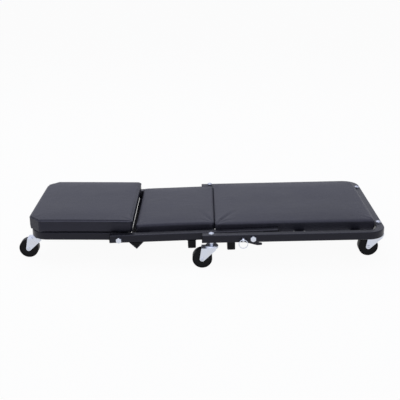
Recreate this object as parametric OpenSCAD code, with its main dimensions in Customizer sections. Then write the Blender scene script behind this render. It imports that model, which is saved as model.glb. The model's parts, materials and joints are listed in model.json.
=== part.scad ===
// Folding creeper that turns into a low seat: three padded sections on six swivel casters.
// Shown lying flat. X runs towards the closed end of the base, Y across the creeper, Z up.
// The floor is at Z = 0. The middle section swings up about the base pivots, and the seat
// section folds about the hinges at the middle section's far end.

/* [Tubes] */
// Outside width of the square tube
tube_w = 20; // [18:0.5:22]
// Wall of the square tube
tube_wall = 1.5; // [1.2:0.1:2]
// Outside corner radius of the square tube
tube_corner = 2.5; // [1.5:0.1:3]
// Outside radius of the frame bends, seen from above
bend_r = 45; // [40:1:60]

/* [Base section] */
// Width over the base arms
base_width = 406; // [380:2:440]
// Pivot to the outer face of the closed end
base_end_reach = 334; // [300:2:400]
// Lock plates to the cross tube that the middle section rests on
base_cross_gap = 7.8; // [4:0.1:10]
// That cross tube to the caster stems in the arms, past which the wheels swing
arm_stem_gap = 39; // [38:1:44]
// Arms past their caster stems
arm_past_stem = 22; // [18:1:30]
// Frame bends to the caster stems in the closed end
end_stem_inset = 20; // [8:1:40]
// How far each end of that cross tube stops short of the arm's outer face
base_cross_inset = 5; // [3:0.5:8]

/* [Middle section] */
// Base pivot to the seat hinge
pivot_to_hinge = 338; // [310:2:380]
// Rail past the seat hinge
rail_past_hinge = 22; // [15:1:24]
// Rail past the corner of the cross tube that it bears on in seat mode
rail_tail_past = 9; // [4:0.5:11]
// Caster stems in the arms to the rails' cross tube
middle_cross_gap = 40; // [39:1:55]
// Air between the seat rails' ends and the stop bar
stop_bar_gap = 4.3; // [2:0.1:9]
// Leg of the stop bar's angle section
stop_bar_leg = 25; // [20:1:27]
// Thickness of the stop bar's angle section
stop_bar_wall = 3; // [2:0.5:4]
// How far the seat hinge lies below the rails' centre line
hinge_drop = 2; // [0:0.5:3]
// Slope of the middle section when the creeper lies flat, in degrees
middle_droop = 1; // [0:0.1:1.4]

/* [Seat section] */
// Seat hinge to the outer face of the closed end
seat_end_reach = 231; // [210:1:260]
// Rail past the seat hinge
seat_rail_tail = 20; // [12:1:21]
// Frame bends to the caster stems in the closed end
seat_stem_inset = 7; // [5:1:30]

/* [Pads] */
// Thickness of the pads' boards
board_t = 6; // [4:0.5:8]
// Vinyl and foam around the edge of a board
pad_skirt = 3.5; // [3:0.5:6]
// How far the base and middle boards sit below the tube tops
pad_sink = 11.5; // [8:0.5:12]
// Height of the base pad at its edges
base_pad_edge = 28.5; // [22:0.5:32]
// Height of the middle pad at its edges
middle_pad_edge = 26.5; // [22:0.5:32]
// Rise of the base pad from its edges to its middle
base_pad_crown = 3.5; // [2:0.5:8]
// Rise of the middle pad from its edges to its middle
middle_pad_crown = 4; // [2:0.5:8]
// Base pivot to the base pad's free end
base_pad_start = 92.5; // [85:0.5:94]
// Air between the base pad and the closed end's inner face
base_pad_end_gap = 3; // [1:0.5:10]
// Air between the base pad's sides and the middle section's rails
base_pad_side_gap = 1.5; // [1:0.1:12]
// Air between the base pad and the middle pad
base_pad_gap = 3; // [3:0.5:12]
// Air between the middle pad and the seat pad
seat_pad_gap = 7; // [6:0.5:15]
// Air between the middle pad's sides and the rails
middle_pad_side_gap = 12.5; // [8:0.5:30]
// Height of the seat pad at its edges
seat_pad_edge = 35.5; // [25:0.5:40]
// Rise of the seat pad from its edges to its middle
seat_pad_crown = 4; // [3:0.5:8]
// Seat hinge to the seat pad's inner end
seat_pad_tail = 33; // [28:1:34]
// Seat pad past the outer face of the closed end
seat_pad_overhang = 5; // [0:0.5:7]
// Cut across the seat pad's outer corners
seat_pad_chamfer = 32; // [15:1:38]
// Rounding of the other pad corners
pad_corner = 7; // [4:0.5:12]
// How far the pads' sides are drawn in between their corners
pad_draw_in = 2; // [1:0.5:4]

/* [Pad supports] */
// Width of the flat straps under the pads
strap_w = 25; // [18:1:30]
// Thickness of the flat straps
strap_t = 3; // [2:0.5:4]
// Pivot to the first strap of the base
base_strap_near = 120; // [105:1:150]
// Second strap of the base to the frame bends
base_strap_gap = 14.5; // [2:0.5:60]
// Ends of the middle pad to the middles of the straps under it
middle_strap_inset = 24; // [16:1:60]
// Seat pad's inner end to the middle of the first strap under it
seat_strap_inset = 81; // [75:1:110]
// Second strap of the seat section to the frame bends
seat_strap_gap = 3.5; // [2:0.5:40]
// Centre plane to the pad screws and the pad brackets
pad_screw_y = 85; // [60:1:100]
// Shank radius of the pad screws
pad_screw_r = 2; // [1.5:0.1:2.5]
// Width across the bracket that holds up the base pad's free end
bracket_w = 40; // [30:1:60]
// Foot and top of that bracket
bracket_flange = 16; // [14:1:18]
// Thickness of that bracket
bracket_t = 2.5; // [2:0.5:3]

/* [Casters] */
// Wheel diameter
wheel_d = 50; // [44:1:54]
// Wheel width over the tread
wheel_w = 19; // [16:0.5:21]
// Hub past the tread on each side
hub_past_tread = 1; // [0.5:0.1:2]
// Hub radius
hub_r = 9; // [7:0.5:10]
// Swivel axis to wheel axle
caster_trail = 24; // [20:0.5:26]
// Axle radius
axle_r = 3; // [2.5:0.1:3.5]
// Sheet thickness of the forks
fork_t = 2; // [1.5:0.1:2.2]
// Air between the hub and each fork leg
hub_gap = 0.5; // [0.3:0.1:2]
// Air between the wheel and the fork's crown
wheel_gap = 1.6; // [1.2:0.1:6]
// Radius of the fork legs' lower ends
fork_tip_r = 6.5; // [5.5:0.5:8]
// Radius of the fork crown and the race
race_r = 17; // [15:0.5:19]
// Radius of the swivel balls
ball_r = 1.4; // [1:0.1:1.5]
// Number of swivel balls
ball_count = 10; // [6:1:12]
// Radius of the stems, the hinge bolts and the pivot bolts
stem_r = 4; // [3.5:0.5:5]
// Radius of the shoulder under the tube
shoulder_r = 5.5; // [5:0.5:7]
// Height of the shoulder under the tube
shoulder_h = 8; // [7:0.5:14]
// Thickness of the races
race_t = 2; // [1.5:0.1:2.5]

/* [Bolts and nuts] */
// Width across the flats of the bolt heads and nuts
hex_flats = 13; // [11:1:15]
// Height of the bolt heads
bolt_head_h = 5.3; // [4:0.1:6]
// Height of the nuts
nut_h = 6.5; // [5:0.5:8]
// Height of the cap nuts on the caster stems
cap_nut_h = 5.6; // [5:0.1:8]
// Radius of the washers
washer_r = 8; // [8:0.5:9]
// Thickness of the washers
washer_t = 1.6; // [1:0.1:2]

/* [Lock] */
// Pivot to the pull pin
pin_reach = 25; // [23:0.5:27]
// Radius of the pull pin
pin_r = 4; // [3.5:0.1:4.5]
// Travel of the pull pin
pin_travel = 5; // [5:0.5:7]
// Arm's face to the middle of the drawn pin's head
pin_head_out = 9; // [8.5:0.5:12]
// Thickness of the lock plate
lock_plate_t = 3; // [2:0.1:4]
// Air between the lock plates and the base arms
lock_plate_gap = 0.5; // [0.3:0.1:2]
// Thickness of the lock plate's finger under the notch
lock_finger = 6; // [4:0.5:7]
// Radius of the pull ring, to the middle of its wire
ring_r = 11; // [10:0.5:12]
// Radius of the pull ring's wire
ring_wire_r = 0.9; // [0.7:0.1:1]

/* [Fits] */
// Radial clearance of pins, bolts and axles that turn or slide
running_fit = 0.05; // [0.02:0.01:0.08]
// Clearance of pieces that are only pushed together
loose_fit = 0.2; // [0.1:0.05:0.3]
// Air between a section and its stop
stop_gap = 0.3; // [0.2:0.05:0.5]

/* [Hidden] */
$fn = 48;
near = -1;
far = 1;
frame_black = [0.13, 0.13, 0.15];
vinyl_black = [0.09, 0.09, 0.10];
zinc = [0.82, 0.82, 0.86];
board_brown = [0.45, 0.33, 0.20];
wheel_black = [0.10, 0.10, 0.11];
plastic_black = [0.05, 0.05, 0.05];
overrun = 1;

// A point [x, z] turned about the Y axis, as the parts are
function turned(p, angle) = [
    p.x * cos(angle) + p.y * sin(angle),
    p.y * cos(angle) - p.x * sin(angle)
];
// Where a line from p touches the circle at c, on the side that s chooses
function touch(c, r, p, s) =
    let (aim = atan2(p.y - c.y, p.x - c.x), spread = acos(r / norm(p - c)))
    c + r * [cos(aim + s * spread), sin(aim + s * spread)];

tube_half = tube_w / 2;
section_gap = lock_plate_t + lock_plate_gap;
arm_y = base_width / 2 - tube_half;
end_stem_y = base_width / 2 - bend_r - end_stem_inset;
rail_y = arm_y - tube_w - section_gap;
seat_rail_y = rail_y - tube_w - section_gap;
seat_width = 2 * (seat_rail_y + tube_half);
seat_stem_y = seat_width / 2 - bend_r - seat_stem_inset;
base_cross_len = base_width - 2 * base_cross_inset;
middle_width = 2 * (rail_y + tube_half);
wheel_r = wheel_d / 2;
hub_w = wheel_w + 2 * hub_past_tread;
fork_inside = hub_w + 2 * hub_gap;
caster_height = wheel_d + wheel_gap + fork_t + 2 * ball_r + 2 * running_fit + race_t + shoulder_h;
pivot_z = caster_height + tube_half;

// Along the arms, from the pivot outwards
plate_margin = 8;
notch_r = pin_r + loose_fit;
base_cross_reach = pin_reach + notch_r + plate_margin + base_cross_gap + tube_half;
arm_stem_reach = base_cross_reach + tube_half + arm_stem_gap;
base_arm_reach = arm_stem_reach + arm_past_stem;
middle_cross_reach = arm_stem_reach + middle_cross_gap + tube_half;

// The rails rest on the base cross tube, so the pivot hole lies below their centre line
cross_outer = base_cross_reach + tube_half;
rail_under_pivot = (tube_half - stop_gap) * cos(middle_droop) - cross_outer * sin(middle_droop);
rail_z = tube_half - rail_under_pivot;
hinge_z = rail_z - hinge_drop;
rail_bottom = rail_z - tube_half;
rail_top = rail_z + tube_half;

// Seat mode: the rail tails bear on the lower inner corner of the base cross tube
corner_at = [tube_half - base_cross_reach - tube_corner, tube_corner - tube_half - tube_w];
corner_aim = -atan2(corner_at.y, corner_at.x) - 90;
fold_angle = corner_aim + acos((rail_under_pivot + tube_corner + stop_gap) / norm(corner_at));
rail_tail = norm(corner_at) + rail_tail_past;

// The seat section leans until its wheels stand on the floor
hinge_at = [0, pivot_z] + turned([-pivot_to_hinge, hinge_z], -middle_droop);
seat_stem_reach = seat_end_reach - tube_half;
seat_wheel = [seat_stem_reach + caster_trail, tube_half + caster_height - wheel_r];
seat_tilt = atan2(seat_wheel.y, seat_wheel.x) + asin((wheel_r - hinge_at.y) / norm(seat_wheel));

// The origin is under the middle of the whole creeper
leftmost = hinge_at.x + turned(-seat_wheel, seat_tilt).x - wheel_r;
end_stem_reach = base_end_reach - tube_half;
rightmost = max(base_end_reach, end_stem_reach + race_r);
pivot_x = -(leftmost + rightmost) / 2;

// Pads
strap_top = tube_half - pad_sink;
middle_strap_top = rail_top - pad_sink;
base_pad_half = rail_y - tube_half - base_pad_side_gap;
base_pad_far = base_end_reach - tube_w - base_pad_end_gap;
middle_pad_start = base_pad_start + base_pad_gap;
middle_pad_end = pivot_to_hinge - seat_pad_tail - seat_pad_gap;
middle_pad_half = rail_y - tube_half - middle_pad_side_gap;
base_strap_far = base_end_reach - bend_r - strap_w / 2 - base_strap_gap;
middle_strap_near = middle_pad_start + middle_strap_inset;
middle_strap_far = middle_pad_end - middle_strap_inset;
seat_strap_near = seat_strap_inset - seat_pad_tail;
seat_strap_far = seat_end_reach - bend_r - strap_w / 2 - seat_strap_gap;
pad_steps = 5;

// Swivel heights above the floor, from the tube down
race_top = caster_height - shoulder_h;
race_low = race_top - race_t;
crown_top = race_low - 2 * ball_r - 2 * running_fit;
crown_low = crown_top - fork_t;
rivet_r = 6.5;
rivet_h = 1.6;
rivet_low = crown_low - 2 * running_fit - rivet_h;
fork_half = fork_inside / 2;
axle_head_r = 4.6;
axle_head_t = 1.5;

// The two places of the pull pin, seen from the middle section
hex_r = hex_flats / 2 / cos(30);
flat_hole = turned([-pin_reach, 0], middle_droop);
seat_notch = turned([-pin_reach, 0], -fold_angle);

// Moves a piece into each section's own axes
module at_base() translate([pivot_x, 0, pivot_z]) children();
module at_middle() at_base() rotate([0, -middle_droop, 0]) children();
module at_seat() translate([pivot_x + hinge_at.x, 0, hinge_at.y]) rotate([0, seat_tilt, 0]) children();
// Turns a piece so that its Z axis points out of one side, from the height y
module on_side(side, y) translate([0, side * y, 0]) rotate([-90 * side, 0, 0]) children();
// Stands a flat outline up in the XZ plane, centred on y
module upright(y, t) translate([0, y, 0]) rotate([90, 0, 0]) linear_extrude(t, center = true) children();

module rounded_square(w, r) {
    square([w - 2 * r, w], center = true);
    square([w, w - 2 * r], center = true);
    for (x = [-1, 1], y = [-1, 1]) translate([x * (w / 2 - r), y * (w / 2 - r)]) circle(r);
}

module tube_section() {
    difference() {
        rounded_square(tube_w, tube_corner);
        square(tube_w - 2 * tube_wall, center = true);
    }
}

module tube_x(from, to) translate([from, 0, 0]) rotate([90, 0, 90]) linear_extrude(to - from) tube_section();
module tube_y(length) rotate([90, 0, 0]) linear_extrude(length, center = true) tube_section();

// A plug for a tube end that faces +Z
plug_flange = 2;
module end_plug() {
    plug_depth = 10;
    linear_extrude(plug_flange) rounded_square(tube_w, tube_corner);
    plug_w = tube_w - 2 * tube_wall - loose_fit;
    translate([-plug_w / 2, -plug_w / 2, -plug_depth]) cube([plug_w, plug_w, plug_depth]);
}

// A bent tube with its closed end at +X
module u_frame(width, open_reach, end_reach) {
    for (s = [near, far])
        translate([0, s * (width / 2 - tube_half), 0]) tube_x(-open_reach, end_reach - bend_r);
    translate([end_reach - tube_half, 0, 0]) tube_y(width - 2 * bend_r);
    for (s = [near, far])
        translate([end_reach - bend_r, s * (width / 2 - bend_r), 0])
            rotate([0, 0, s == far ? 0 : -90])
                rotate_extrude(angle = 90) translate([bend_r - tube_half, 0]) tube_section();
}

module bore_y(x, z, r, from, to) translate([x, from, z]) rotate([-90, 0, 0]) cylinder(h = to - from, r = r);

// Base frame and what is welded to it
module arm_stems() for (s = [near, far]) translate([-arm_stem_reach, s * arm_y, 0]) children();
module end_stems() for (s = [near, far]) translate([end_stem_reach, s * end_stem_y, 0]) children();

tongue_w = 12;
tongue_len = tube_w * 0.75;
tongue_low = strap_top - strap_t;
tongue_top = min(strap_top, tube_half - tube_wall - loose_fit);
strap_screw_r = 2.5;
strap_screw_head_r = 4.2;
strap_screw_head_h = 2;

module base_frame() color(frame_black) at_base() difference() {
    u_frame(base_width, base_arm_reach, base_end_reach);
    arm_stems() cylinder(h = 2 * tube_w, r = stem_r + loose_fit, center = true);
    end_stems() cylinder(h = 2 * tube_w, r = stem_r + loose_fit, center = true);
    for (s = [near, far]) {
        bore_y(0, 0, stem_r + running_fit, s * arm_y - tube_w, s * arm_y + tube_w);
        bore_y(-pin_reach, 0, pin_r + running_fit, s * arm_y - tube_w, s * arm_y + tube_w);
        // Slot for the strap's tongue and a hole for its screw
        translate([base_strap_near, s * (arm_y - tube_half), (tongue_low + tongue_top) / 2])
            cube([
                tongue_w + 2 * loose_fit, 2 * tube_wall + overrun, tongue_top - tongue_low + 2 * loose_fit
            ], center = true);
        translate([base_strap_near, s * arm_y, -tube_w]) cylinder(h = tube_w, r = strap_screw_r + loose_fit);
    }
}

module base_cross_tube() color(frame_black) at_base()
    translate([-base_cross_reach, 0, -tube_w]) tube_y(base_cross_len);

module base_end_plugs() color(plastic_black) at_base() for (s = [near, far]) {
    translate([-base_arm_reach, s * arm_y, 0]) rotate([0, -90, 0]) end_plug();
    translate([-base_cross_reach, 0, -tube_w]) on_side(s, base_cross_len / 2) end_plug();
}

module strap(x, top, half)
    translate([x - strap_w / 2, -half, top - strap_t]) cube([strap_w, 2 * half, strap_t]);

module strap_holes(x) for (s = [near, far])
    translate([x, s * pad_screw_y, -tube_w]) cylinder(h = 2 * tube_w, r = pad_screw_r + loose_fit);

module base_straps() color(frame_black) at_base() {
    difference() {
        union() {
            strap(base_strap_near, strap_top, arm_y - tube_half);
            tongue_half = arm_y - tube_half + tongue_len;
            translate([base_strap_near - tongue_w / 2, -tongue_half, tongue_low])
                cube([tongue_w, 2 * tongue_half, tongue_top - tongue_low]);
        }
        strap_holes(base_strap_near);
        for (s = [near, far])
            translate([base_strap_near, s * arm_y, -tube_w])
                cylinder(h = 2 * tube_w, r = strap_screw_r + running_fit);
    }
    difference() {
        strap(base_strap_far, strap_top, arm_y - tube_half);
        strap_holes(base_strap_far);
    }
}

module arm_strap_screws() color(frame_black) at_base() for (s = [near, far])
    translate([base_strap_near, s * arm_y, -tube_half - strap_screw_head_h]) {
        cylinder(h = strap_screw_head_h, r1 = strap_screw_head_r * 0.7, r2 = strap_screw_head_r);
        cylinder(h = strap_screw_head_h + tube_half + tongue_top, r = strap_screw_r);
    }

// A channel that stands on the base cross tube and carries the board
module base_pad_brackets() color(frame_black) at_base() {
    height = strap_top + tube_half;
    for (s = [near, far]) difference() {
        upright(s * pad_screw_y, bracket_w) translate([-base_cross_reach + bracket_flange / 2, -tube_half])
            polygon([
                [0, 0], [0, height], [-bracket_flange, height], [-bracket_flange, height - bracket_t],
                [-bracket_t, height - bracket_t], [-bracket_t, bracket_t], [-bracket_flange, bracket_t],
                [-bracket_flange, 0]
            ]);
        translate([-base_cross_reach, s * pad_screw_y, strap_top - 2 * bracket_t])
            cylinder(h = tube_half, r = pad_screw_r + loose_fit);
    }
}

// Pad outlines. A corner is [size, kind]: kind 0 is a straight cut and kind 1 an arc.
soft_corner = [pad_corner, 1];
cut_corner = [seat_pad_chamfer, 0];
function corner_points(c, a, b, inset) =
    let (size = max(c[0] - inset * (2 - sqrt(2)), pad_corner / 4))
    [for (i = [0 : pad_steps]) let (t = i / pad_steps, turn = 90 * t)
        c[1] == 1
            ? [a - size + size * cos(turn), b - size + size * sin(turn)]
            : [a - size * t, b - size * (1 - t)]];
// One side's points after its first corner, bowed inwards between the corners
function side_points(p, q, bow) = [for (i = [1 : pad_steps - 1])
    let (t = i / pad_steps, out = [q.y - p.y, p.x - q.x] / norm(q - p))
    p + (q - p) * t - out * bow * 4 * t * (1 - t)];
// A ring of the pad, a by b at its middle lines, drawn in by inset all round
function pad_ring(a, b, corners, inset, bow) =
    let (
        x = a - inset, y = b - inset,
        first = corner_points(corners[0], x, y, inset),
        second = [for (p = corner_points(corners[1], y, x, inset)) [-p.y, p.x]],
        third = [for (p = corner_points(corners[2], x, y, inset)) [-p.x, -p.y]],
        fourth = [for (p = corner_points(corners[3], y, x, inset)) [p.y, -p.x]]
    )
    concat(
        first, side_points(first[pad_steps], second[0], bow),
        second, side_points(second[pad_steps], third[0], bow),
        third, side_points(third[pad_steps], fourth[0], bow),
        fourth, side_points(fourth[pad_steps], first[0], bow)
    );

// How far in each ring of the crown lies, as shares of the way to the pad's middle line
crown_shares = [0.04, 0.1, 0.18, 0.3, 0.48, 0.7, 0.92];
edge_round = 6;
// How high the crown stands at a point, as a share of its full rise
function crown_at(p, a, b) = (1 - pow(abs(p.x) / a, 3)) * (1 - pow(abs(p.y) / b, 3));

// A crowned cushion over a board: a pocket below, sides drawn in, and a domed top
module cushion(a, b, corners, edge, crown) {
    way = min(a, b);
    rings = concat(
        [[pad_skirt, board_t], [pad_skirt, 0], [edge_round / 3, 0], [0, edge_round / 2]],
        [[0, edge * 0.35], [edge_round / 3, edge * 0.6], [edge_round / 4, edge - edge_round]],
        [[edge_round / 2, edge - edge_round / 3], [edge_round, edge]],
        [for (s = crown_shares) [edge_round + (way - edge_round) * s, edge]]
    );
    count = 4 * (pad_steps + 1) + 4 * (pad_steps - 1);
    last = len(rings) - 1;
    points = concat(
        [[0, 0, board_t]],
        [for (r = rings) for (p = pad_ring(a, b, corners, r[0], pad_draw_in))
            let (rise = r[0] > edge_round ? crown * crown_at(p, a - edge_round, b - edge_round) : 0)
            [p.x, p.y, r[1] + rise]],
        [[0, 0, edge + crown]]
    );
    faces = concat(
        [for (i = [0 : count - 1]) [0, 1 + i, 1 + (i + 1) % count]],
        [for (k = [0 : last - 1]) for (i = [0 : count - 1])
            let (p = 1 + k * count, q = p + count, j = (i + 1) % count) [p + i, q + i, q + j, p + j]],
        [for (i = [0 : count - 1])
            let (p = 1 + last * count) [p + i, 1 + (last + 1) * count, p + (i + 1) % count]]
    );
    polyhedron(points, faces);
}

module board(a, b, corners) linear_extrude(board_t)
    polygon(pad_ring(a, b, corners, pad_skirt + stop_gap, pad_draw_in));

// Screws that come up through a strap or bracket into a board, with their heads below it
screw_head_r = 2 * pad_screw_r;
screw_head_h = pad_screw_r;
screw_bite = board_t * 0.75;
module pad_screw(top, plate_t) translate([0, 0, top - plate_t - screw_head_h]) {
    cylinder(h = screw_head_h, r1 = screw_head_r * 0.7, r2 = screw_head_r);
    cylinder(h = screw_head_h + plate_t + screw_bite, r = pad_screw_r);
}
module pad_screw_row(x) for (s = [near, far]) translate([x, s * pad_screw_y, 0]) children();
module board_holes(places, top) for (x = places) pad_screw_row(x)
    translate([0, 0, top - overrun])
        cylinder(h = screw_bite + running_fit + overrun, r = pad_screw_r + running_fit);

base_pad_mid = (base_pad_far - base_pad_start) / 2;
base_pad_a = (base_pad_far + base_pad_start) / 2;
base_pad_corners = [soft_corner, soft_corner, soft_corner, soft_corner];
module base_pad_board() color(board_brown) at_base() difference() {
    translate([base_pad_mid, 0, strap_top]) board(base_pad_a, base_pad_half, base_pad_corners);
    board_holes([-base_cross_reach, base_strap_near, base_strap_far], strap_top);
}
module base_pad_cushion() color(vinyl_black) at_base() translate([base_pad_mid, 0, strap_top])
    cushion(base_pad_a, base_pad_half, base_pad_corners, base_pad_edge, base_pad_crown);
module base_pad_screws() color(zinc) at_base() {
    for (x = [base_strap_near, base_strap_far]) pad_screw_row(x) pad_screw(strap_top, strap_t);
    pad_screw_row(-base_cross_reach) pad_screw(strap_top, bracket_t);
}

middle_pad_mid = -(middle_pad_start + middle_pad_end) / 2;
middle_pad_a = (middle_pad_end - middle_pad_start) / 2;
module middle_pad_board() color(board_brown) at_middle() difference() {
    translate([middle_pad_mid, 0, middle_strap_top]) board(middle_pad_a, middle_pad_half, base_pad_corners);
    board_holes([-middle_strap_near, -middle_strap_far], middle_strap_top);
}
module middle_pad_cushion() color(vinyl_black) at_middle() translate([middle_pad_mid, 0, middle_strap_top])
    cushion(middle_pad_a, middle_pad_half, base_pad_corners, middle_pad_edge, middle_pad_crown);
module middle_pad_screws() color(zinc) at_middle()
    for (x = [-middle_strap_near, -middle_strap_far]) pad_screw_row(x) pad_screw(middle_strap_top, strap_t);

seat_pad_far = seat_end_reach + seat_pad_overhang;
seat_pad_mid = (seat_pad_tail - seat_pad_far) / 2;
seat_pad_a = (seat_pad_tail + seat_pad_far) / 2;
seat_pad_corners = [soft_corner, cut_corner, cut_corner, soft_corner];
// The caster nuts stand in recesses under the seat pad
module nut_recesses() seat_stems() translate([0, 0, tube_half - overrun])
    cylinder(h = cap_nut_h + loose_fit + overrun, r = hex_r + 2 * loose_fit);
module seat_pad_board() color(board_brown) at_seat() difference() {
    translate([seat_pad_mid, 0, tube_half]) board(seat_pad_a, seat_width / 2, seat_pad_corners);
    board_holes([-seat_strap_near, -seat_strap_far], tube_half);
    nut_recesses();
}
module seat_pad_cushion() color(vinyl_black) at_seat() difference() {
    translate([seat_pad_mid, 0, tube_half])
        cushion(seat_pad_a, seat_width / 2, seat_pad_corners, seat_pad_edge, seat_pad_crown);
    nut_recesses();
}
module seat_pad_screws() color(zinc) at_seat()
    for (x = [-seat_strap_near, -seat_strap_far]) pad_screw_row(x) pad_screw(tube_half, strap_t);

// Middle section
module middle_rail(side) color(frame_black) at_middle() difference() {
    translate([0, side * rail_y, rail_z]) tube_x(-pivot_to_hinge - rail_past_hinge, rail_tail);
    on_side(side, rail_y) cylinder(h = tube_w, r = stem_r + running_fit);
    bore_y(-pivot_to_hinge, hinge_z, stem_r + running_fit, side * rail_y - tube_w, side * rail_y + tube_w);
    translate([flat_hole.x, 0, flat_hole.y]) on_side(side, rail_y) cylinder(h = tube_w, r = notch_r);
}
module middle_rail_near() middle_rail(near);
module middle_rail_far() middle_rail(far);

module middle_cross_tube() color(frame_black) at_middle()
    translate([-middle_cross_reach, 0, rail_bottom - tube_half]) tube_y(middle_width);

// An angle bar with its edge down, whose faces meet the folded seat section
bar_half = stop_bar_leg / sqrt(2);
bar_slant = stop_bar_wall * sqrt(2);
stop_bar_reach = seat_rail_tail + plug_flange + stop_bar_gap + bar_half;
module stop_bar() color(frame_black) at_middle()
    upright(0, middle_width) translate([stop_bar_reach - pivot_to_hinge, rail_bottom]) polygon([
        [-bar_half, 0], [0, -bar_half], [bar_half, 0],
        [bar_half - bar_slant, 0], [0, bar_slant - bar_half], [bar_slant - bar_half, 0]
    ]);

module middle_end_plugs() color(plastic_black) at_middle() {
    for (s = [near, far]) {
        translate([-pivot_to_hinge - rail_past_hinge, s * rail_y, rail_z]) rotate([0, -90, 0]) end_plug();
        translate([rail_tail, s * rail_y, rail_z]) rotate([0, 90, 0]) end_plug();
        translate([-middle_cross_reach, 0, rail_bottom - tube_half]) on_side(s, middle_width / 2) end_plug();
        // Three-cornered caps inside the stop bar's ends
        upright(s * (middle_width - stop_bar_wall) / 2, stop_bar_wall)
            translate([stop_bar_reach - pivot_to_hinge, rail_bottom])
                polygon([[bar_slant - bar_half, 0], [0, bar_slant - bar_half], [bar_half - bar_slant, 0]]);
    }
}

module middle_straps() color(frame_black) at_middle() for (x = [-middle_strap_near, -middle_strap_far])
    difference() {
        strap(x, middle_strap_top, rail_y - tube_half);
        strap_holes(x);
    }

// A plate on each rail: a round hole for the pin when flat and an open notch for seat mode
finger_out = 4.7;
module lock_plates() color(frame_black) at_middle() {
    top = rail_top - tube_corner;
    left = flat_hole.x - notch_r - plate_margin;
    jaw = seat_notch.x + plate_margin;
    notch_low = seat_notch.y - notch_r;
    foot = notch_low - lock_finger;
    tip = seat_notch.x + finger_out - lock_finger / 2;
    for (s = [near, far]) upright(s * (rail_y + tube_half + lock_plate_t / 2), lock_plate_t) difference() {
        union() {
            polygon([
                [left, top], [left, -notch_r - plate_margin],
                [seat_notch.x - notch_r - plate_margin / 2, foot],
                [tip, foot], [tip, notch_low], seat_notch, [seat_notch.x, seat_notch.y + notch_r],
                [jaw, seat_notch.y + notch_r], [jaw, top]
            ]);
            translate([tip, foot + lock_finger / 2]) circle(lock_finger / 2);
        }
        translate(seat_notch) circle(notch_r);
        translate(flat_hole) circle(notch_r);
        circle(stem_r + running_fit);
    }
}

// Bolts that point outwards from a nut inside to a head outside, from one height to another
module hex(h) rotate([0, 0, 30]) cylinder(h = h, r = hex_r, $fn = 6);
module bolt(side, inner, outer) on_side(side, inner) {
    cylinder(h = outer - inner, r = stem_r);
    translate([0, 0, outer - inner]) intersection() {
        hex(bolt_head_h);
        cylinder(h = bolt_head_h, r1 = hex_r + bolt_head_h, r2 = hex_flats / 2);
    }
}
module washer(t) difference() {
    cylinder(h = t, r = washer_r);
    translate([0, 0, -overrun]) cylinder(h = t + 2 * overrun, r = stem_r + running_fit);
}
module nut(h) difference() {
    hex(h);
    translate([0, 0, -overrun]) cylinder(h = h + 2 * overrun, r = stem_r + running_fit);
}
bolt_end = 1.5;
// The pivot bolts end in round nuts inside the rails, so that the pads can lie close beside them
pivot_inner = rail_y - tube_half + tube_wall + loose_fit;
module pivot_bolts() color(zinc) at_base() for (s = [near, far]) bolt(s, pivot_inner, base_width / 2);
module pivot_nuts() color(zinc) at_base() for (s = [near, far]) on_side(s, pivot_inner) difference() {
    cylinder(h = nut_h, r = hex_flats / 2);
    translate([0, 0, -overrun]) cylinder(h = nut_h + 2 * overrun, r = stem_r + running_fit);
}

hinge_inner = seat_rail_y - tube_half - washer_t - nut_h;
module at_hinge() at_middle() translate([-pivot_to_hinge, 0, hinge_z]) children();
module hinge_bolts() color(zinc) at_hinge()
    for (s = [near, far]) bolt(s, hinge_inner - bolt_end, rail_y + tube_half);
module hinge_nuts() color(zinc) at_hinge() for (s = [near, far]) on_side(s, hinge_inner) {
    nut(nut_h);
    translate([0, 0, nut_h]) washer(washer_t);
}
module hinge_spacers() color(zinc) at_hinge()
    for (s = [near, far]) on_side(s, seat_rail_y + tube_half) washer(section_gap);

// Seat section
module seat_stems() for (s = [near, far]) translate([-seat_stem_reach, s * seat_stem_y, 0]) children();
module seat_frame() color(frame_black) at_seat() difference() {
    mirror([1, 0, 0]) u_frame(seat_width, seat_rail_tail, seat_end_reach);
    seat_stems() cylinder(h = 2 * tube_w, r = stem_r + loose_fit, center = true);
    bore_y(0, 0, stem_r + running_fit, -seat_width, seat_width);
}
module seat_end_plugs() color(plastic_black) at_seat() for (s = [near, far])
    translate([seat_rail_tail, s * seat_rail_y, 0]) rotate([0, 90, 0]) end_plug();
module seat_straps() color(frame_black) at_seat() for (x = [-seat_strap_near, -seat_strap_far])
    difference() {
        strap(x, tube_half, seat_rail_y - tube_half);
        strap_holes(x);
    }

// Pull pins, drawn out. Their Z axis points out of the arm from its inner face.
at_pin_face = arm_y - tube_half;
clip_t = 1.2;
clip_r = 6;
clip_at = tube_wall + pin_travel + loose_fit;
module pull_pin(side) color(zinc) at_base() translate([-pin_reach, 0, 0]) on_side(side, at_pin_face) {
    head_at = tube_w + pin_head_out;
    difference() {
        union() {
            cylinder(h = head_at, r = pin_r);
            translate([0, 0, head_at]) sphere(pin_r);
        }
        translate([0, 0, head_at]) rotate([0, 90, 0])
            cylinder(h = 4 * pin_r, r = 2 * ring_wire_r, center = true);
    }
    translate([0, 0, clip_at]) difference() {
        cylinder(h = clip_t, r = clip_r);
        translate([0, 0, -overrun]) cylinder(h = clip_t + 2 * overrun, r = pin_r + running_fit);
    }
}
module pull_pin_near() pull_pin(near);
module pull_pin_far() pull_pin(far);

spring_wire = 1;
module pin_springs() color(zinc) at_base() for (s = [near, far])
    translate([-pin_reach, 0, 0]) on_side(s, at_pin_face) difference() {
        spring_low = clip_at + clip_t + running_fit;
        spring_len = tube_w - tube_wall - spring_low;
        translate([0, 0, spring_low]) cylinder(h = spring_len, r = pin_r + 3 * loose_fit + spring_wire);
        cylinder(h = tube_w, r = pin_r + 3 * loose_fit);
    }

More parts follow.
